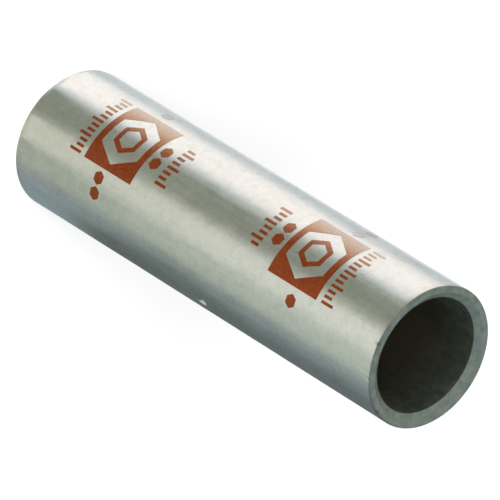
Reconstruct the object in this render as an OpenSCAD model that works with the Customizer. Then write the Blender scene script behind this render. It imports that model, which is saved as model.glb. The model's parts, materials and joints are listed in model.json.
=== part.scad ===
// Long barrel compression splice: a tin plated copper tube that joins two stranded conductors end to end.
// The barrel stands on one end. Each conductor enters through a bevelled mouth and goes in as far as the
// wire stop, a bump that a punch has raised inside the bore, near the middle of the barrel.

/* [Barrel] */
// Diameter of the bore, which takes a stranded conductor 12 mm across
bore_d = 12.9; // [8:0.1:30]
// Thickness of the tube's wall
wall = 1.5; // [1:0.1:4]
// Overall length
barrel_l = 59; // [30:1:150]

/* [Ends] */
// Depth of the bevel at each mouth of the bore, along the barrel
bevel_depth = 0.6; // [0.2:0.1:3]
// Width of the bevel, across the end face
bevel_w = 0.75; // [0.2:0.05:1.1]
// Radius of the rounded outer edge at each end
edge_r = 0.2; // [0.1:0.05:0.6]

/* [Wire stop] */
// Distance of the stop from the middle of the barrel, towards the upper end
stop_shift = 0.9; // [-6:0.1:6]
// Angle of the punch mark round the barrel, from +X towards +Y
stop_angle = -20; // [-180:1:180]
// Length of the punch mark on the outside, along the barrel
punch_l = 2.4; // [2.2:0.1:4]
// Width of the punch mark, round the barrel
punch_w = 1; // [0.8:0.1:2]
// Depth of the punch mark
punch_depth = 0.4; // [0.2:0.05:0.4]
// Length of the bump inside the bore, along the barrel
bump_l = 2.6; // [2.5:0.1:4]
// Width of the bump at its foot, round the bore
bump_w = 1.5; // [1.2:0.1:2.4]
// Height of the bump above the wall of the bore
bump_h = 0.5; // [0.2:0.05:0.6]
// Height of the low swell that the punch leaves all round the bore
swell_h = 0.15; // [0.05:0.05:0.4]
// Length of wall that the swell takes up beyond each side of the bump
swell_margin = 0.5; // [0.2:0.1:2]

/* [Hidden] */
$fn = 128;

tin_grey = [0.74, 0.74, 0.71];

bore_r = bore_d / 2;
outer_r = bore_r + wall;
stop_z = barrel_l / 2 + stop_shift;
swell_l = bump_l + 2 * swell_margin;

// Radius of the circle whose cap is this wide at its foot and this high
function cap_r(width, height) = (width * width / 4 + height * height) / (2 * height);

// Two copies of a half section's detail, one at each end of the barrel
module at_both_ends() {
    children();
    translate([0, barrel_l])
        mirror([0, 1])
            children();
}

// Corner that the rounded outer edge takes off
module edge_corner() {
    difference() {
        translate([outer_r - edge_r, 0])
            square(edge_r);
        translate([outer_r - edge_r, edge_r])
            circle(edge_r);
    }
}

// Corner that the bevel takes off the mouth of the bore
module bevel_corner() {
    polygon([[bore_r, 0], [bore_r + bevel_w, 0], [bore_r, bevel_depth]]);
}

// Low crown on the wall of the bore at the stop
module swell_section() {
    swell_r = cap_r(swell_l, swell_h);
    intersection() {
        translate([bore_r - swell_h + swell_r, stop_z])
            circle(swell_r);
        translate([bore_r - swell_h, stop_z - swell_l / 2])
            square([swell_h + wall / 2, swell_l]);
    }
}

// Half section of the tube's wall, to be turned about the axis
module wall_section() {
    difference() {
        translate([bore_r, 0])
            square([wall, barrel_l]);
        at_both_ends() {
            edge_corner();
            bevel_corner();
        }
    }
    swell_section();
}

// Moves to the stop's place on the axis and turns to face the punch
module at_stop() {
    translate([0, 0, stop_z])
        rotate([0, 0, stop_angle])
            children();
}

// Bar along the barrel that ends in half balls, with its middle at the origin
module rounded_bar(radius, straight) {
    translate([0, 0, -straight / 2])
        rotate_extrude()
            intersection() {
                union() {
                    circle(radius);
                    square([radius, straight]);
                    translate([0, straight])
                        circle(radius);
                }
                translate([0, -radius])
                    square([radius, straight + 2 * radius]);
            }
}

// Rounded oblong hollow that the punch leaves on the outside
module punch_mark() {
    punch_r = cap_r(punch_w, punch_depth);
    at_stop()
        translate([outer_r - punch_depth + punch_r, 0, 0])
            rounded_bar(punch_r, punch_l - punch_w);
}

// Bump inside the bore that stops the conductors, rooted in the wall
module stop_bump() {
    bump_r = cap_r(bump_w, bump_h);
    intersection() {
        at_stop()
            translate([bore_r - bump_h + bump_r, 0, 0])
                rounded_bar(bump_r, bump_l - bump_w);
        cylinder(r = bore_r + wall / 2, h = barrel_l);
    }
}

// The splice: one length of tube, bevelled at its mouths and punched at its stop
module barrel() {
    color(tin_grey)
        difference() {
            union() {
                rotate_extrude()
                    wall_section();
                stop_bump();
            }
            punch_mark();
        }
}

barrel();
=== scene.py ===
"""Long barrel compression splice: a tin plated tube with a punched wire stop and two printed size marks.

The tube stands on its lower end in a plain white studio. Shapes are worked out in millimetres, as whole
arrays over grids of angle and height, and turned into metres when they become meshes.
"""
import json
import math

import bpy
import numpy as np
from mathutils import Matrix, Vector


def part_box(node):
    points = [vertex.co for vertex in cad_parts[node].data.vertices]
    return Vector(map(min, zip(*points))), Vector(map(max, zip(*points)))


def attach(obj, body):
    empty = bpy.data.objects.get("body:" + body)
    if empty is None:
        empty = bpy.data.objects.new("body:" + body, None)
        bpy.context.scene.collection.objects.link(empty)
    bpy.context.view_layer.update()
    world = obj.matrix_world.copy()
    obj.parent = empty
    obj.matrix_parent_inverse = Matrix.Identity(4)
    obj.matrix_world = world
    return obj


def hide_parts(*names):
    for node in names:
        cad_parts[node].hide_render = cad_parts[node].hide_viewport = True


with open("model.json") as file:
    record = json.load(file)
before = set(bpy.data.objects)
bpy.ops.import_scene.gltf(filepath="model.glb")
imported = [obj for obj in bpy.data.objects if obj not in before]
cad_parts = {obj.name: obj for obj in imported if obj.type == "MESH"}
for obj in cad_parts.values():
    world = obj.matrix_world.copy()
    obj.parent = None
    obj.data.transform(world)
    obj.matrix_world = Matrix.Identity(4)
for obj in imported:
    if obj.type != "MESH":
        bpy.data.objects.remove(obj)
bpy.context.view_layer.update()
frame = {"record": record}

# Sizes that the frame gives, in millimetres
MM = 0.001
MOUNTS = {mount["name"]: mount for mount in frame["record"]["mounts"]}


def mount_size(name, key):
    """One of a mount's sizes."""
    return MOUNTS[name]["dims"][key]


def mount_height(name):
    """Height of a mount above the lower end."""
    return MOUNTS[name]["pos_m"][2] / MM


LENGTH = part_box("barrel")[1].z / MM
OUTER_R = mount_size("barrel_outside", "r_mm")
BORE_R = mount_size("upper_socket", "r_mm")
EDGE_R = (LENGTH - mount_size("barrel_outside", "length_mm")) / 2
BEVEL_DEPTH = mount_height("lower_socket")
SWELL_FOOT = mount_height("lower_socket") + mount_size("lower_socket", "length_mm")
SWELL_TOP = mount_height("upper_socket") - mount_size("upper_socket", "length_mm")
SWELL_L = SWELL_TOP - SWELL_FOOT
STOP_Z = (SWELL_FOOT + SWELL_TOP) / 2

# Sizes of the ends and of the wire stop that the frame's record doesn't give
BEVEL_W = 0.75
CORNER_R = 0.06
SWELL_H = 0.15
STOP_ANGLE = math.radians(-20)
PUNCH_L = 2.4
PUNCH_W = 1.0
PUNCH_DEPTH = 0.4
PUNCH_LIP = 0.14
BUMP_L = 2.6
BUMP_W = 1.5
BUMP_H = 0.5
BUMP_FOOT = 0.2

# Shallow marks of the tool that holds the tube while it is punched: where they are, how far they reach
# and how deep they go, and their ripple's turns round the tube, slant along it and phase
HOLD_ANGLE = math.radians(-90)
HOLD_Z = STOP_Z - 2.0
HOLD_SPREAD = math.radians(18)
HOLD_L = 4.5
HOLD_DEPTH = 0.017
HOLD_TURNS = 9
HOLD_SLANT = 1.4
HOLD_PHASE = 0.6

# Waves that drawing leaves on the tube: height, turns round it, slant along it, phase, and the slant
# and phase of the slower wave that fades them along it
DRAWN_WAVES = [
    (0.010, 2, 0.0, 0.6, 0.0, 0.0),
    (0.006, 3, -0.11, 0.0, 0.0, 0.0),
    (0.004, 5, 0.62, 1.1, 0.21, 0.0),
    (0.003, 11, -0.37, 0.0, 0.13, 0.8),
]

# Nicks and one long worn place on the outer edges: angle in degrees, height of the end, length round
# the edge, depth. Then the depth that counts as a full nick, and the share of its depth by which a nick
# goes inwards, and along the tube
EDGE_NICKS = [
    (-78.7, LENGTH, 0.40, 0.11),
    (-49.7, LENGTH, 0.30, 0.05),
    (-17.7, LENGTH, 0.60, 0.09),
    (-125.0, 0.0, 3.00, 0.05),
    (64.0, 0.0, 0.45, 0.08),
    (170.0, 0.0, 0.35, 0.06),
]
NICK_FULL = 0.11
NICK_SHARE = 0.7

# How finely the tube is divided: rows on its long walls and columns round it, with the reach and height
# of the bell that crowds each at the wire stop and the steps of its sum, then the shares at which the
# rows across the ends and bevels lie, and the steps round the corners
OUTSIDE_ROWS = 108
BORE_ROWS = 70
ROW_CROWD = (0.03, 7)
COLUMNS = 400
COLUMN_CROWD = (0.16, 2)
CROWD_STEPS = 4001
END_SHARES = np.array([0.04, 0.2, 0.4, 0.6, 0.8, 0.96])
BEVEL_SHARES = np.array([0.08, 0.36, 0.64, 0.92])
EDGE_STEPS = 7
CORNER_STEPS = 3

# Where the finish changes: distances from an outer edge at which the rubbing starts to fade and ends,
# the depth at which the painted shade in the bore is darkest, and the share of the bevel's depth at
# which the cut's dullness has faded out on the wall
RUBBED_REACH = (0.05, 0.4)
DARK_DEPTH = 12.0
CUT_FADE = 1.3

# Size marks: where they sit on the tube, the ink's thickness, the shares at which a figure's rows lie,
# and the angle on the tube, in degrees, from which a painted highlight makes the ink pale and metallic,
# and over which it grows
MARK_ANGLE = math.radians(-112.4)
MARK_FROM_END = 14.17
INK_PROUD = 0.015
INK_DEPTH = 0.03
INK_SHARES = np.array([0, 0.03, 0.25, 0.5, 0.75, 0.97, 1])
SHEEN_FROM = 102.0
SHEEN_OVER = 60.0

# Figures of a size mark, in (round the tube, along it) from its middle: half sizes of the field,
# apothems of its window, of the crimp's hexagon and of the small hexagons, whose hole is too small to
# see, and the pitch of these. Then the steps round a figure, the decimals to which two directions are
# one, and the least cosine that a half size is divided by
FIELD_ACROSS = 4.2
FIELD_ALONG = 3.9
WINDOW_APOTHEM = 3.0
CRIMP_OUTSIDE = 1.75
CRIMP_INSIDE = 1.15
DOT_APOTHEM = 0.68
DOT_HOLE = 0.01
DOT_PITCH = 1.75
HEXAGON_CORNERS = np.arange(6) * math.pi / 3
FIGURE_STEPS = 96
TURN_DECIMALS = 6
LEAST_COSINE = 1e-9

# Rows of small hexagons: middle, place along the tube, count. Rows of gauge ticks: foot, width, count
# and which way they rise, with the heights of a tall and a short tick, of which every third is tall
DOTS_BELOW = (0.0, -5.15, 2)
DOT_RIGHT = (5.7, 0.7, 1)
DOTS_LEFT = (-6.2, 0.7, 2)
TICKS_ABOVE = (4.65, 8.3, 13, 1)
TICKS_BELOW = (-6.75, 5.4, 8, -1)
TICK_TALL = 1.75
TICK_SHORT = 1.15
TALL_EVERY = 3

# Photograph's view: the camera is on the -Y side and is turned about its own line of sight
VIEW_LENS = 504.0
VIEW_SENSOR = 36.0
VIEW_ELEVATION = math.radians(42.3)
VIEW_ROLL = math.radians(121.7)
VIEW_DISTANCE = 731.06
VIEW_AIM = (0.275, 0.0, 30.24)
VIEW_CLIP = (10.0, 20000.0)


# Grids and meshes

def add_piece(name, points, quads, material, attributes=None):
    """A smooth mesh object from points in millimetres and rows of four corners, with named values per
    point: colours where there are four values to a point."""
    mesh = bpy.data.meshes.new(name)
    mesh.vertices.add(len(points))
    mesh.vertices.foreach_set("co", (points * MM).astype(np.float32).ravel())
    mesh.loops.add(quads.size)
    mesh.loops.foreach_set("vertex_index", quads.astype(np.int32).ravel())
    mesh.polygons.add(len(quads))
    mesh.polygons.foreach_set("loop_start", np.arange(0, quads.size, 4, dtype=np.int32))
    mesh.polygons.foreach_set("use_smooth", np.ones(len(quads), bool))
    for label, values in (attributes or {}).items():
        colour = values.shape[-1] == 4
        layer = mesh.attributes.new(label, "FLOAT_COLOR" if colour else "FLOAT", "POINT")
        layer.data.foreach_set("color" if colour else "value", values.astype(np.float32).ravel())
    mesh.update(calc_edges=True)
    mesh.validate()
    mesh.materials.append(material)
    piece = bpy.data.objects.new(name, mesh)
    bpy.context.scene.collection.objects.link(piece)
    return piece


def grid_quads(rows, columns, close_rows=False, close_columns=False):
    """Corners of every cell of a grid. A closed side joins the last row or column to the first."""
    index = np.arange(rows * columns).reshape(rows, columns)
    right = np.roll(index, -1, axis=1)
    above = np.roll(index, -1, axis=0)
    across = np.roll(right, -1, axis=0)
    cells = np.stack([index, right, across, above], axis=-1)
    return cells[: rows - (not close_rows), : columns - (not close_columns)].reshape(-1, 4)


def round_axis(radius, angle, z):
    """Points at these distances from the tube's axis, angles round it and heights."""
    return np.stack([radius * np.cos(angle), radius * np.sin(angle), z + 0 * angle], axis=-1)


def crowded(start, end, count, centre, reach, gain):
    """Values from start to end that lie closer together round a centre: the running sum of a density,
    which is 1 plus a bell of that reach and height, read backwards at even steps."""
    fine = np.linspace(start, end, CROWD_STEPS)
    density = 1 + gain * np.exp(-(((fine - centre) / reach) ** 2))
    total = np.concatenate([[0], np.cumsum((density[1:] + density[:-1]) / 2)])
    return np.interp(np.linspace(0, total[-1], count), total, fine)


def smooth_step(value, low, high):
    """0 below low, 1 above high, and a cubic without corners between them."""
    share = np.clip((value - low) / (high - low), 0, 1)
    return share * share * (3 - 2 * share)


# The tube

def cap_radius(width, height):
    """Radius of the circle whose cap is this wide at its foot and this high."""
    return (width ** 2 / 4 + height ** 2) / (2 * height)


def soft_min(first, second, fillet):
    """The nearer of two surfaces to the axis, blended by a parabola over a fillet where they cross."""
    share = np.clip(0.5 + (second - first) / (2 * fillet), 0, 1)
    return second + (first - second) * share - fillet * share * (1 - share)


def off_angle(angle, centre):
    """Signed turn from a centre to each angle, between minus and plus half a turn."""
    return np.angle(np.exp(1j * (angle - centre)))


def nose_side(angle, centre_r, nose_r):
    """Distance from the axis at which a level ray first meets a round nose at the wire stop: the
    smaller root of the quadratic of ray and circle. Rays that miss get a distance beyond the wall."""
    along = centre_r * np.cos(angle - STOP_ANGLE)
    reach = along ** 2 - centre_r ** 2 + nose_r ** 2
    meets = (reach > 0) & (along > 0)
    return np.where(meets, along - np.sqrt(np.maximum(reach, 0)), OUTER_R + PUNCH_W)


def hold_wave(angle, z):
    """Ripple of the holding tool's marks: one slanting cosine, faded by a bell round the tube and one
    along it."""
    around = off_angle(angle, HOLD_ANGLE) / HOLD_SPREAD
    along = (z - HOLD_Z) / HOLD_L
    ripple = np.cos(HOLD_TURNS * angle + HOLD_SLANT * z + HOLD_PHASE)
    return HOLD_DEPTH * np.exp(-around ** 2 - along ** 2) * ripple


def tube_wave(angle, z):
    """Slight out-of-round and ripple that drawing leaves: a sum of slanting cosines, each of them faded
    along the tube by a slower cosine."""
    return sum(
        height * np.cos(turns * angle + slant * z + phase) * np.cos(fade_slant * z + fade_phase)
        for height, turns, slant, phase, fade_slant, fade_phase in DRAWN_WAVES
    )


def punch_depth(z):
    """How deep the punch has gone in at each height: a slanting blow, (1 - s)(1 + s)^2 at the share s
    of half its length, which is 32/27 at its deepest. It starts a lip's height above the wall."""
    share = np.clip((z - STOP_Z) / (PUNCH_L / 2), -1, 1)
    return (PUNCH_DEPTH + PUNCH_LIP) * (1 - share) * (1 + share) ** 2 * 27 / 32 - PUNCH_LIP


def outside_radius(angle, z):
    """The outside: the wall with its waves and tool marks, and the hollow where the punch's round nose
    cuts in."""
    nose_r = cap_radius(PUNCH_W, PUNCH_DEPTH)
    hollow = nose_side(angle, OUTER_R - punch_depth(z) + nose_r, nose_r)
    return soft_min(OUTER_R + tube_wave(angle, z) + hold_wave(angle, z), hollow, PUNCH_LIP)


def bore_radius(angle, z):
    """The bore: the wall with its waves, less the swell's arc, and the bump, an upright ellipsoid: its
    level circle shrinks with height as a sphere's does, stretched."""
    swell_r = cap_radius(SWELL_L, SWELL_H)
    arc = np.sqrt(np.maximum(swell_r ** 2 - (z - STOP_Z) ** 2, 0)) - (swell_r - SWELL_H)
    wall = BORE_R + tube_wave(angle, z) - np.maximum(arc, 0)
    nose_r = cap_radius(BUMP_W, BUMP_H)
    rise = (z - STOP_Z) * BUMP_W / BUMP_L
    bump = nose_side(angle, BORE_R - BUMP_H + nose_r, np.sqrt(np.maximum(nose_r ** 2 - rise ** 2, 0)))
    return soft_min(wall, bump, BUMP_FOOT)


def corner_arc(before, corner, after, radius, steps):
    """Points on the arc of that radius that touches both sides of a corner, turned evenly from one to
    the other."""
    back = (before - corner) / np.linalg.norm(before - corner)
    on = (after - corner) / np.linalg.norm(after - corner)
    half = math.acos(back @ on) / 2
    middle = back + on
    centre = corner + middle / np.linalg.norm(middle) * radius / math.sin(half)
    first = corner + back * radius / math.tan(half) - centre
    last = corner + on * radius / math.tan(half) - centre
    sweep = math.pi - 2 * half
    turn = np.linspace(0, sweep, steps + 1)[:, None]
    return centre + (np.sin(sweep - turn) * first + np.sin(turn) * last) / math.sin(sweep)


def side_points(start, end, shares):
    """Points inside a straight side, at these shares of its length."""
    return start + (end - start) * shares[:, None]


def tube_section():
    """Closed outline of the wall in (radius, height): up the outside, over the upper end, down the bore
    and back over the lower end. Every corner is an arc, and every side runs straight from one arc to
    the next."""
    mouth_r = BORE_R + BEVEL_W
    corners = np.array([
        (OUTER_R, 0), (OUTER_R, LENGTH), (mouth_r, LENGTH),
        (BORE_R, LENGTH - BEVEL_DEPTH), (BORE_R, BEVEL_DEPTH), (mouth_r, 0),
    ])
    radii = 2 * [EDGE_R] + 4 * [CORNER_R]
    steps = 2 * [EDGE_STEPS] + 4 * [CORNER_STEPS]
    outside_shares = crowded(0, 1, OUTSIDE_ROWS, STOP_Z / LENGTH, *ROW_CROWD)[1:-1]
    bore_shares = crowded(0, 1, BORE_ROWS, 1 - STOP_Z / LENGTH, *ROW_CROWD)[1:-1]
    shares = [outside_shares, END_SHARES, BEVEL_SHARES, bore_shares, BEVEL_SHARES, END_SHARES]
    before = np.roll(corners, 1, axis=0)
    after = np.roll(corners, -1, axis=0)
    arcs = [corner_arc(*corner) for corner in zip(before, corners, after, radii, steps)]
    sides = [
        side_points(arc[-1], following[0], share)
        for arc, following, share in zip(arcs, arcs[1:] + arcs[:1], shares)
    ]
    return np.concatenate([part for pair in zip(arcs, sides) for part in pair])


def tube_points(section, angle):
    """The section turned about the axis: each point's radius takes on the outside's or the bore's
    relief, in proportion to how near it is to that wall, and the outer edges lose their nicks. A nick
    is a bell along the edge times a bell away from it, which reaches two edge radii or a third of the
    nick's length. Returns the points and how far each is into a nick."""
    radius = section[:, :1] + 0 * angle
    z = section[:, 1:] + 0 * angle
    relief = outside_radius(angle, z) - OUTER_R
    bore_relief = bore_radius(angle, z) - BORE_R
    outward = smooth_step(radius, BORE_R, OUTER_R)
    radius = radius + bore_relief * (1 - outward) + relief * outward
    nicked = np.zeros_like(radius)
    for degrees, end, length, depth in EDGE_NICKS:
        along_edge = OUTER_R * off_angle(angle, math.radians(degrees))
        from_edge = np.hypot(radius - OUTER_R, z - end)
        reach = max(2 * EDGE_R, length / 3)
        dent = depth * np.exp(-((2 * along_edge / length) ** 2) - (from_edge / reach) ** 2)
        radius = radius - NICK_SHARE * dent
        z = z + NICK_SHARE * dent * (1 if end == 0 else -1)
        nicked = nicked + dent / NICK_FULL
    return round_axis(radius, angle, z), np.clip(nicked, 0, 1)


def make_barrel(material):
    """The tube: its section carried round a full turn, with the columns closer together at the wire
    stop. Its points carry how dull, how rubbed, how deep in the bore, which sets the painted shade
    there, and how nicked they are."""
    section = tube_section()
    angle = crowded(-math.pi, math.pi, COLUMNS + 1, 0, *COLUMN_CROWD)[:-1] + STOP_ANGLE
    points, nicked = tube_points(section, angle)
    radius, z = section[:, :1], section[:, 1:]
    inside = smooth_step(BORE_R + BEVEL_W - radius, 0.0, BEVEL_W)
    from_end = np.minimum(z, LENGTH - z)
    edge = 1 - smooth_step(np.hypot(radius - OUTER_R, from_end), *RUBBED_REACH)
    # How deep in the bore a point is, which sets the painted shade there
    depth = inside * smooth_step(from_end, 0.0, DARK_DEPTH)
    near_end = 1 - smooth_step(from_end, BEVEL_DEPTH, CUT_FADE * BEVEL_DEPTH)
    cut = smooth_step(OUTER_R - radius, 0.0, EDGE_R) * near_end
    dull = np.maximum(inside, cut)
    every = np.ones((1, len(angle)))
    zones = {"dull": dull * every, "edge": edge * every, "depth": depth * every, "nick": nicked}
    quads = grid_quads(len(section), len(angle), close_rows=True, close_columns=True)
    barrel = add_piece("splice_barrel", points.reshape(-1, 3), quads, material, zones)
    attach(barrel, "root")
    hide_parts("barrel")


# The size marks

def box_reach(turn, half_across, half_along):
    """Distance from the centre of a rectangle to its edge in each direction."""
    across = half_across / np.maximum(np.abs(np.cos(turn)), LEAST_COSINE)
    along = half_along / np.maximum(np.abs(np.sin(turn)), LEAST_COSINE)
    return np.minimum(across, along)


def hexagon_reach(turn, apothem):
    """Distance from the centre of a hexagon to its edge in each direction. A corner lies at 0."""
    sixth = math.pi / 3
    return apothem / np.cos((turn % sixth) - sixth / 2)


def turns_with(*corners):
    """Directions all round a figure, at even steps and at these corners."""
    even = np.linspace(0, 2 * math.pi, FIGURE_STEPS, endpoint=False)
    return np.unique(np.round(np.concatenate([even, *corners]) % (2 * math.pi), TURN_DECIMALS))


def ring_grid(outer, inner, turn):
    """Flat band between two outlines that are given by direction: points run from the outer to the
    inner one. True says that its columns close."""
    reach = outer + (inner - outer) * INK_SHARES[:, None]
    return np.stack([reach * np.cos(turn), reach * np.sin(turn)], axis=-1), True


def hexagon_ring(outside, inside):
    """Flat hexagonal band, by its outer and inner apothem."""
    turn = turns_with(HEXAGON_CORNERS)
    return ring_grid(hexagon_reach(turn, outside), hexagon_reach(turn, inside), turn)


def bar_grid(across, along, width, height):
    """Flat upright bar, by its centre and size. False says that its columns don't close."""
    u, v = np.meshgrid(INK_SHARES - 0.5, INK_SHARES - 0.5)
    return np.stack([across + u * width, along + v * height], axis=-1), False


def tick_row(foot, width, count, rise):
    """Row of gauge ticks that stand on one line, tall and short. Rise is 1 upwards and -1 downwards."""
    pitch = width / (count - 0.5)
    order = np.arange(count)
    places = (order - (count - 1) / 2) * pitch
    heights = np.where(order % TALL_EVERY == 0, TICK_TALL, TICK_SHORT)
    return [
        bar_grid(place, foot + rise * height / 2, pitch / 2, height)
        for place, height in zip(places, heights)
    ]


def hexagon_row(centre, along, count):
    """Row of small solid hexagons, each a ring that closes at its middle."""
    ring, closed = hexagon_ring(DOT_APOTHEM, DOT_HOLE)
    places = (np.arange(count) - (count - 1) / 2) * DOT_PITCH + centre
    return [(ring + np.array([place, along]), closed) for place in places]


def mark_figures():
    """Flat figures of one size mark, in (arc, length): a field with a hexagonal window, a hexagon in it
    for the crimp, and gauge ticks and small hexagons round it."""
    corner = math.atan2(FIELD_ALONG, FIELD_ACROSS)
    field_corners = np.array([corner, math.pi - corner, math.pi + corner, -corner])
    turn = turns_with(HEXAGON_CORNERS, field_corners)
    field = box_reach(turn, FIELD_ACROSS, FIELD_ALONG)
    figures = [ring_grid(field, hexagon_reach(turn, WINDOW_APOTHEM), turn)]
    figures.append(hexagon_ring(CRIMP_OUTSIDE, CRIMP_INSIDE))
    figures += tick_row(*TICKS_ABOVE)
    figures += hexagon_row(*DOTS_BELOW)
    figures += tick_row(*TICKS_BELOW)
    figures += hexagon_row(*DOT_RIGHT)
    figures += hexagon_row(*DOTS_LEFT)
    return figures


def make_mark(name, height, facing, material):
    """One size mark: its flat figures wrapped round the tube, a little proud of the wall. Facing is 1
    for upright and -1 for the half turn that the other mark has. Each point carries its share of the
    painted highlight, which grows with its angle on the tube."""
    points, quads, thin, count = [], [], [], 0
    for flat, ring in mark_figures():
        angle = MARK_ANGLE + facing * flat[..., 0] / OUTER_R
        z = height + facing * flat[..., 1]
        radius = outside_radius(angle, z) + INK_PROUD
        points.append(round_axis(radius, angle, z).reshape(-1, 3))
        quads.append(grid_quads(*flat.shape[:2], close_columns=ring) + count)
        # Share of painted highlight, by the angle on the tube
        thin.append(np.clip((-np.degrees(angle) - SHEEN_FROM) / SHEEN_OVER, 0, 1).ravel())
        count += len(points[-1])
    zones = {"thin": np.concatenate(thin)}
    mark = add_piece(name, np.concatenate(points), np.concatenate(quads), material, zones)
    wall = mark.modifiers.new("ink_thickness", "SOLIDIFY")
    wall.thickness = INK_DEPTH * MM
    wall.offset = -1
    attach(mark, "root")


# Materials

# Patterns of the tin's finish, in features per metre, and the stretch of the drawing lines
CLOUD_SCALE = 240.0
MOTTLE_SCALE = 1150.0
GRAIN_SCALE = 3600.0
LINE_SCALE = 2400.0
LINE_STRETCH = (1.0, 1.0, 0.04)
PIT_SCALE = 1500.0

# Colours of the tin over its clouds, its tints over the mottle, the fine lines and the dull places, and
# the colours of its pits, rubbed edges and darkened nicks, and the painted shade of the bore at its
# darkest
TIN_COLOURS = [(0.3, (0.735, 0.74, 0.71)), (0.7, (0.795, 0.79, 0.77))]
MOTTLE_TINTS = [(0.25, (0.905, 0.91, 0.90)), (0.5, (1.0, 1.0, 1.0)), (0.75, (1.05, 1.05, 1.06))]
FINE_TINTS = [(0.0, (0.935, 0.935, 0.93)), (1.0, (1.065, 1.065, 1.07))]
DULL_TINTS = [(0.35, (0.86, 0.91, 0.94)), (0.65, (1.12, 1.08, 1.03))]
PIT_COLOUR = (0.30, 0.30, 0.27, 1.0)
RUBBED_COLOUR = (0.44, 0.35, 0.26, 1.0)
NICK_COLOUR = (0.20, 0.135, 0.09, 1.0)
BORE_SHADE_COLOUR = (0.62, 0.575, 0.485, 1.0)

# Roughness of the tin over its clouds, what the lines and the dull places add to it, and the weights of
# the lines and of the mottle beside the grain in its relief
CLOUD_ROUGHNESS = (0.26, 0.32)
LINE_ROUGHNESS = (-0.03, 0.04)
DULL_ROUGHNESS = (0.0, 0.2)
LINE_RELIEF = 2.4
MOTTLE_RELIEF = 2.0

# Patterns of the ink, its colours over its clouds, how bare the metal is under the painted highlight,
# and the painted highlight's film colours, pale peach to grey
INK_CLOUD_SCALE = 700.0
INK_GRAIN_SCALE = 5200.0
INK_COLOURS = [(0.3, (0.245, 0.037, 0.004)), (0.7, (0.31, 0.054, 0.007))]
BARE_MOST = 0.85
SHEEN_BARE_STOPS = [
    (0.1, (0.0, 0.0, 0.0)),
    (0.25, (0.09, 0.09, 0.09)),
    (0.815, (BARE_MOST, BARE_MOST, BARE_MOST)),
]
SHEEN_FILM_COLOURS = [
    (0.33, (0.95, 0.70, 0.45)),
    (0.5, (0.90, 0.80, 0.61)),
    (0.667, (0.82, 0.79, 0.725)),
    (0.8, (0.70, 0.71, 0.70)),
]

# Places of a colour mix node's sockets
MIX_SHARE = 0
MIX_FIRST = 6
MIX_SECOND = 7
MIX_RESULT = 2


def node(tree, kind, inputs=None, **settings):
    """Adds a shader node. Settings are its properties, and inputs are numbers, colours or sockets."""
    made = tree.nodes.new(kind)
    for name, value in settings.items():
        setattr(made, name, value)
    for key, value in (inputs or {}).items():
        if isinstance(value, bpy.types.NodeSocket):
            tree.links.new(value, made.inputs[key])
        else:
            made.inputs[key].default_value = value
    return made


def new_material(name):
    """An empty node material, its tree and its output."""
    material = bpy.data.materials.new(name)
    material.use_nodes = True
    tree = material.node_tree
    tree.nodes.clear()
    return material, tree, node(tree, "ShaderNodeOutputMaterial")


def noise(tree, place, scale, detail=3.0, roughness=0.5, stretch=None):
    """Noise on object coordinates, by features per metre. Stretch scales the axes first."""
    if stretch:
        place = node(tree, "ShaderNodeMapping", {"Vector": place, "Scale": stretch}).outputs["Vector"]
    made = node(tree, "ShaderNodeTexNoise", {
        "Vector": place, "Scale": scale, "Detail": detail, "Roughness": roughness,
    })
    return made.outputs["Fac"]


def ramp(tree, value, stops):
    """Colour ramp through (position, colour) stops."""
    made = node(tree, "ShaderNodeValToRGB", {"Fac": value})
    elements = made.color_ramp.elements
    while len(elements) < len(stops):
        elements.new(0.5)
    for element, (position, colour) in zip(elements, stops):
        element.position = position
        element.color = (*colour, 1.0)
    return made.outputs["Color"]


def span(tree, value, target, source=(0.0, 1.0)):
    """A value moved from the source range to the target range, and held at its ends."""
    made = node(tree, "ShaderNodeMapRange", {
        "Value": value,
        "From Min": source[0],
        "From Max": source[1],
        "To Min": target[0],
        "To Max": target[1],
    })
    return made.outputs["Result"]


def mix_colour(tree, share, first, second, blend="MIX"):
    """Colour between two, by a share, or the first colour tinted by the second."""
    inputs = {MIX_SHARE: share, MIX_FIRST: first, MIX_SECOND: second}
    return node(tree, "ShaderNodeMix", inputs, data_type="RGBA", blend_type=blend).outputs[MIX_RESULT]


def maths(tree, operation, first, second):
    """Two values joined by one operation."""
    return node(tree, "ShaderNodeMath", {0: first, 1: second}, operation=operation).outputs["Value"]


def attribute(tree, name):
    """A named value that the mesh carries at each point."""
    return node(tree, "ShaderNodeAttribute", attribute_name=name).outputs["Fac"]


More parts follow.
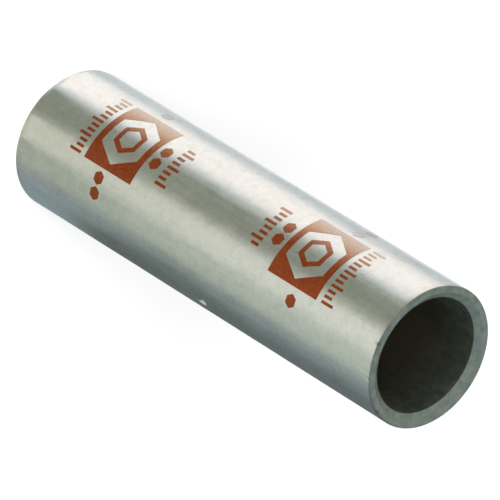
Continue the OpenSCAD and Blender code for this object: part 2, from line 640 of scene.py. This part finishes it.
def tin_material():
    """Satin tin plate: clouded colour and gloss, a fine crystalline mottle, drawing lines along the
    tube, small dark pits, copper showing faintly at the rubbed edges, nicks darkened to dark brown,
    and a dull bore with painted shade that darkens it deeper in."""
    material, tree, output = new_material("tin_plate")
    place = node(tree, "ShaderNodeTexCoord").outputs["Object"]
    clouds = noise(tree, place, CLOUD_SCALE, detail=4.0, roughness=0.6)
    mottle = noise(tree, place, MOTTLE_SCALE, detail=3.0, roughness=0.55)
    grain = noise(tree, place, GRAIN_SCALE, detail=2.0)
    lines = noise(tree, place, LINE_SCALE, detail=2.0, stretch=LINE_STRETCH)
    pits = noise(tree, place, PIT_SCALE, detail=1.0)
    dull = attribute(tree, "dull")
    fine = span(tree, maths(tree, "ADD", grain, lines), (0.0, 1.0), source=(0.6, 1.4))
    colour = ramp(tree, clouds, TIN_COLOURS)
    colour = mix_colour(tree, 1.0, colour, ramp(tree, mottle, MOTTLE_TINTS), "MULTIPLY")
    colour = mix_colour(tree, 1.0, colour, ramp(tree, fine, FINE_TINTS), "MULTIPLY")
    colour = mix_colour(tree, dull, colour, ramp(tree, mottle, DULL_TINTS), "MULTIPLY")
    pitted = span(tree, pits, (0.0, 0.25), source=(0.78, 0.83))
    colour = mix_colour(tree, pitted, colour, PIT_COLOUR)
    patchy = span(tree, clouds, (0.0, 0.4), source=(0.4, 0.65))
    rubbed = maths(tree, "MULTIPLY", attribute(tree, "edge"), patchy)
    colour = mix_colour(tree, rubbed, colour, RUBBED_COLOUR)
    # The nicks are darkened towards dark brown
    nick_darkening = span(tree, attribute(tree, "nick"), (0.0, 0.7), source=(0.2, 1.0))
    colour = mix_colour(tree, nick_darkening, colour, NICK_COLOUR)
    # Painted shade: the bore darkens towards this colour deeper in, away from both ends
    colour = mix_colour(tree, attribute(tree, "depth"), colour, BORE_SHADE_COLOUR)
    cloud_gloss = span(tree, clouds, CLOUD_ROUGHNESS, source=(0.3, 0.7))
    line_gloss = span(tree, lines, LINE_ROUGHNESS, source=(0.3, 0.7))
    gloss = maths(tree, "ADD", cloud_gloss, line_gloss)
    roughness = maths(tree, "ADD", gloss, span(tree, dull, DULL_ROUGHNESS))
    relief = maths(tree, "ADD", grain, maths(tree, "MULTIPLY", lines, LINE_RELIEF))
    relief = maths(tree, "ADD", relief, maths(tree, "MULTIPLY", mottle, MOTTLE_RELIEF))
    bump = node(tree, "ShaderNodeBump", {"Strength": 0.22, "Distance": 0.012 * MM, "Height": relief})
    shader = node(tree, "ShaderNodeBsdfPrincipled", {
        "Base Color": colour, "Metallic": 1.0, "Roughness": roughness, "Normal": bump.outputs["Normal"],
    })
    tree.links.new(shader.outputs["BSDF"], output.inputs["Surface"])
    return material


def ink_material():
    """Thin marking ink in orange-brown: uneven colour, a fine speckle, and a painted highlight towards
    the angles of the tube's bright band, where the ink turns to bare metal under pale film colours."""
    material, tree, output = new_material("size_mark_ink")
    place = node(tree, "ShaderNodeTexCoord").outputs["Object"]
    clouds = noise(tree, place, INK_CLOUD_SCALE, detail=3.0)
    grain = noise(tree, place, INK_GRAIN_SCALE, detail=2.0)
    thin = attribute(tree, "thin")
    speckle = span(tree, grain, (-0.05, 0.05), source=(0.35, 0.65))
    # Painted highlight: by angle, the ink gives way to bare metal and pale film colours
    speckled = maths(tree, "ADD", ramp(tree, thin, SHEEN_BARE_STOPS), speckle)
    bare = span(tree, speckled, (0.0, BARE_MOST), source=(0.0, BARE_MOST))
    colour = mix_colour(tree, bare, ramp(tree, clouds, INK_COLOURS), ramp(tree, thin, SHEEN_FILM_COLOURS))
    bump = node(tree, "ShaderNodeBump", {"Strength": 0.2, "Distance": 0.01 * MM, "Height": grain})
    shader = node(tree, "ShaderNodeBsdfPrincipled", {
        "Base Color": colour,
        "Metallic": span(tree, bare, (0.35, 1.0)),
        "Roughness": span(tree, clouds, (0.30, 0.38)),
        "IOR": 1.3,
        "Normal": bump.outputs["Normal"],
    })
    tree.links.new(shader.outputs["BSDF"], output.inputs["Surface"])
    return material


# The studio

FLOOR_HALF = 3000.0
FLOOR_BELOW = 0.02
FLOOR_COLOUR = (0.9, 0.9, 0.9, 1.0)
FLOOR_GLOW = 0.45
WHITE = (1.0, 1.0, 1.0, 1.0)
WORLD_LEVEL = 0.35

# Soft lamp on the camera's side: height over the level, distance from the tube, width, power in watts
LAMP_ELEVATION = math.radians(52)
LAMP_DISTANCE = 700.0
LAMP_SIZE = 450.0
LAMP_POWER = 3.2

# Reflector cards that lie round the foot of the tube: name, the angles on the tube between which the
# camera sees the card mirrored, and its colours at distances from the foot
FLOOR_CARDS = [
    ("card_limb", -179.0, -169.0, [(0, (0.95, 0.98, 0.99)), (25, (1.34, 1.36, 1.36))]),
    ("card_rim", -169.0, -153.0, [(0, (0.645, 0.71, 0.735)), (45, (0.605, 0.665, 0.695))]),
    ("card_rim_edge", -153.0, -148.0, [(0, (0.83, 0.86, 0.87)), (45, (0.72, 0.745, 0.76))]),
    ("card_bright", -148.0, -122.0, [(85, (1.24, 1.19, 1.15)), (170, (0.78, 0.77, 0.75))]),
    ("card_bright_edge", -122.0, -119.4, [(0, (0.96, 0.98, 0.96))]),
    ("card_cool", -119.4, -116.0, [(0, (0.62, 0.70, 0.73))]),
    ("card_dark", -116.0, -93.6, [(0, (0.30, 0.322, 0.264)), (33, (0.272, 0.294, 0.236))]),
    ("card_dark_edge", -93.6, -89.0, [(0, (0.385, 0.408, 0.345))]),
    ("card_light", -89.0, -69.5, [(0, (0.67, 0.685, 0.58)), (65, (0.87, 0.89, 0.81))]),
    ("card_middle", -69.5, -50.0, [(0, (0.43, 0.475, 0.395)), (65, (0.55, 0.62, 0.55))]),
    ("card_dusk", -50.0, -40.5, [
        (0, (0.33, 0.38, 0.375)), (30, (0.245, 0.29, 0.28)), (60, (0.30, 0.352, 0.355)),
    ]),
    ("card_deep_left", -40.5, -33.0, [
        (11, (0.27, 0.335, 0.36)), (28, (0.135, 0.168, 0.162)), (45, (0.205, 0.252, 0.272)),
    ]),
    ("card_deep", -33.0, -2.0, [
        (7, (0.27, 0.34, 0.365)), (15, (0.117, 0.143, 0.13)), (60, (0.14, 0.172, 0.174)),
    ]),
]
CARD_ABOVE = 0.05
CARD_NEAR = 0.3
CARD_FAR = 590.0
CARD_COLUMNS = 33
CARD_ROWS = 60

# Ring cards at the foot of the tube and under the bore: how far they reach and their gap from its walls
FOOT_REACH = 0.35
RING_GAP = 0.05
RING_HOLE = 0.01
RING_COLUMNS = 361
RING_ROWS = 3
# Colour of the dim ring under the bore, a sheet put there for the shade inside the tube
BORE_SHADE_CARD = (0.155, 0.145, 0.115)

# Dark upright flag beside the tube, and the grey tent over all, with its colours from -X to +X
FLAG_PLACE = 150.0
FLAG_FROM = -60.0
FLAG_TO = 130.0
FLAG_TOP = 100.0
FLAG_STEPS = 3
FLAG_COLOUR = (0.05, 0.055, 0.05)
TENT_R = 600.0
TENT_HOLE = 0.001
TENT_COLUMNS = 65
TENT_ROWS = 17
TENT_COLOURS = [
    (-0.8, (0.245, 0.282, 0.241)),
    (0.0, (0.213, 0.26, 0.241)),
    (0.8, (0.191, 0.243, 0.246)),
]


def seen_by_eye_or_gloss(tree):
    """1 on rays from the camera and on rays that metal or glass sends on, 0 on rays of soft light."""
    path = node(tree, "ShaderNodeLightPath")
    seen = maths(tree, "MAXIMUM", path.outputs["Is Camera Ray"], path.outputs["Is Glossy Ray"])
    return maths(tree, "MAXIMUM", seen, path.outputs["Is Transmission Ray"])


def flat_sheet(name, points, material, attributes=None):
    """A stage sheet from a grid of points."""
    sheet = add_piece(name, points.reshape(-1, 3), grid_quads(*points.shape[:2]), material, attributes)
    return sheet


def only_in_gloss(sheet):
    """Lets a card show in reflections alone."""
    sheet.visible_camera = False
    sheet.visible_diffuse = False
    sheet.visible_transmission = False
    sheet.visible_shadow = False


def glow_material():
    """A lit card, in the colour that its mesh carries at each point."""
    material, tree, output = new_material("card_glow")
    shade = node(tree, "ShaderNodeAttribute", attribute_name="glow").outputs["Color"]
    glow = node(tree, "ShaderNodeEmission", {"Color": shade, "Strength": 1.0})
    tree.links.new(glow.outputs["Emission"], output.inputs["Surface"])
    return material


def floor_material():
    """Matt white floor that keeps shadows, lifted to white for the camera and for reflections."""
    material, tree, output = new_material("studio_floor")
    matt = node(tree, "ShaderNodeBsdfDiffuse", {"Color": FLOOR_COLOUR})
    lift = maths(tree, "MULTIPLY", seen_by_eye_or_gloss(tree), FLOOR_GLOW)
    glow = node(tree, "ShaderNodeEmission", {"Strength": lift})
    both = node(tree, "ShaderNodeAddShader", {0: matt.outputs["BSDF"], 1: glow.outputs["Emission"]})
    tree.links.new(both.outputs["Shader"], output.inputs["Surface"])
    return material


def make_floor():
    """A wide level floor just under the tube."""
    across, along = np.meshgrid([-FLOOR_HALF, FLOOR_HALF], [-FLOOR_HALF, FLOOR_HALF])
    points = np.stack([across, along, np.full_like(across, -FLOOR_BELOW)], axis=-1)
    flat_sheet("studio_floor", points, floor_material())


def glow_card(name, points, places, stops, material):
    """A card from a grid of points. Its colour runs straight through its stops by each point's place."""
    marks = [mark for mark, _ in stops]
    shades = [np.interp(places, marks, [colour[k] for _, colour in stops]) for k in range(3)]
    glow = np.stack([*shades, np.ones_like(places)], axis=-1)
    only_in_gloss(flat_sheet(name, points, material, {"glow": glow}))


def fan_card(name, start, end, stops, material):
    """A card on the floor, swept by the rays that the tube's side mirrors from the camera: from each
    angle of the tube a level line runs out at twice that angle plus a quarter turn. Its colour goes by
    the distance."""
    angles = np.radians(np.linspace(start, end, CARD_COLUMNS))
    reaches = CARD_NEAR + (CARD_FAR - CARD_NEAR) * np.linspace(0, 1, CARD_ROWS) ** 2
    turn, reach = np.meshgrid(angles, reaches)
    out = 2 * turn + math.pi / 2
    points = np.stack([
        OUTER_R * np.cos(turn) + reach * np.cos(out),
        OUTER_R * np.sin(turn) + reach * np.sin(out),
        np.full_like(turn, CARD_ABOVE),
    ], axis=-1)
    glow_card(name, points, reach, stops, material)


def ring_card(name, inner, outer, stops, material):
    """A card on the floor, as a flat ring about the tube's axis. Its colour goes by the angle."""
    angles = np.linspace(-math.pi, math.pi, RING_COLUMNS)
    turn, reach = np.meshgrid(angles, np.linspace(inner, outer, RING_ROWS))
    glow_card(name, round_axis(reach, turn, CARD_ABOVE), np.degrees(turn), stops, material)


def make_flag(material):
    """A dark upright rectangle for the punch mark to mirror."""
    along, height = np.meshgrid(
        np.linspace(FLAG_FROM, FLAG_TO, FLAG_STEPS), np.linspace(CARD_ABOVE, FLAG_TOP, FLAG_STEPS)
    )
    points = np.stack([np.full_like(along, FLAG_PLACE), along, height], axis=-1)
    glow_card("flag", points, height, [(0, FLAG_COLOUR)], material)


def make_tent(material):
    """A half sphere over all for the ends to mirror, by turn and rise. Its colour goes by X."""
    turn, rise = np.meshgrid(
        np.linspace(0, 2 * math.pi, TENT_COLUMNS), np.linspace(0.0, math.pi / 2 - TENT_HOLE, TENT_ROWS)
    )
    points = TENT_R * round_axis(np.cos(rise), turn, np.sin(rise))
    glow_card("tent", points, points[..., 0] / TENT_R, TENT_COLOURS, material)


def make_cards():
    """The cards that the tube mirrors: fans round its foot, a dim ring under the bore that stands in for
    the shade there, a ring at the foot that carries on the fans' colours, the flag and the tent."""
    material = glow_material()
    for card in FLOOR_CARDS:
        fan_card(*card, material)
    ring_card("card_under_bore", RING_HOLE, BORE_R - RING_GAP, [(0, BORE_SHADE_CARD)], material)
    foot_stops = [((start + end) / 2, stops[0][1]) for _, start, end, stops in FLOOR_CARDS]
    ring_card("card_at_foot", OUTER_R - RING_GAP, OUTER_R + FOOT_REACH, foot_stops, material)
    make_flag(material)
    make_tent(material)


def make_world():
    """White round about for the camera and for reflections, and an even soft light."""
    world = bpy.data.worlds.new("studio_light")
    world.use_nodes = True
    tree = world.node_tree
    tree.nodes.clear()
    level = span(tree, seen_by_eye_or_gloss(tree), (WORLD_LEVEL, 1.0))
    background = node(tree, "ShaderNodeBackground", {"Color": WHITE, "Strength": level})
    output = node(tree, "ShaderNodeOutputWorld")
    tree.links.new(background.outputs["Background"], output.inputs["Surface"])
    bpy.context.scene.world = world


def make_lamp():
    """A square soft lamp on the camera's side that faces the tube's middle."""
    lamp = bpy.data.lights.new("key_lamp", "AREA")
    lamp.size = LAMP_SIZE * MM
    lamp.energy = LAMP_POWER
    holder = bpy.data.objects.new("key_lamp", lamp)
    bpy.context.scene.collection.objects.link(holder)
    toward = Vector((0, -math.cos(LAMP_ELEVATION), math.sin(LAMP_ELEVATION)))
    holder.location = (toward * LAMP_DISTANCE + Vector((0, 0, LENGTH / 2))) * MM
    holder.rotation_euler = toward.to_track_quat("Z", "Y").to_euler()
    holder.visible_glossy = False


def make_camera():
    """The photograph's view: looking down along +Y, and rolled about the line of sight."""
    camera = bpy.data.cameras.new("camera")
    camera.lens = VIEW_LENS
    camera.sensor_width = VIEW_SENSOR
    camera.clip_start = VIEW_CLIP[0] * MM
    camera.clip_end = VIEW_CLIP[1] * MM
    holder = bpy.data.objects.new("camera", camera)
    bpy.context.scene.collection.objects.link(holder)
    back = Vector((0, -math.cos(VIEW_ELEVATION), math.sin(VIEW_ELEVATION)))
    level = Vector((1, 0, 0))
    rise = back.cross(level)
    right = level * math.cos(VIEW_ROLL) + rise * math.sin(VIEW_ROLL)
    up = rise * math.cos(VIEW_ROLL) - level * math.sin(VIEW_ROLL)
    turn = Matrix((right, up, back)).transposed().to_4x4()
    place = (Vector(VIEW_AIM) + back * VIEW_DISTANCE) * MM
    holder.matrix_world = Matrix.Translation(place) @ turn
    bpy.context.scene.camera = holder


make_camera()
tin = tin_material()
ink = ink_material()
make_barrel(tin)
make_mark("size_mark_upper", LENGTH - MARK_FROM_END, 1, ink)
make_mark("size_mark_lower", MARK_FROM_END, -1, ink)
make_floor()
make_cards()
make_world()
make_lamp()
bpy.context.scene.view_settings.view_transform = "Standard"
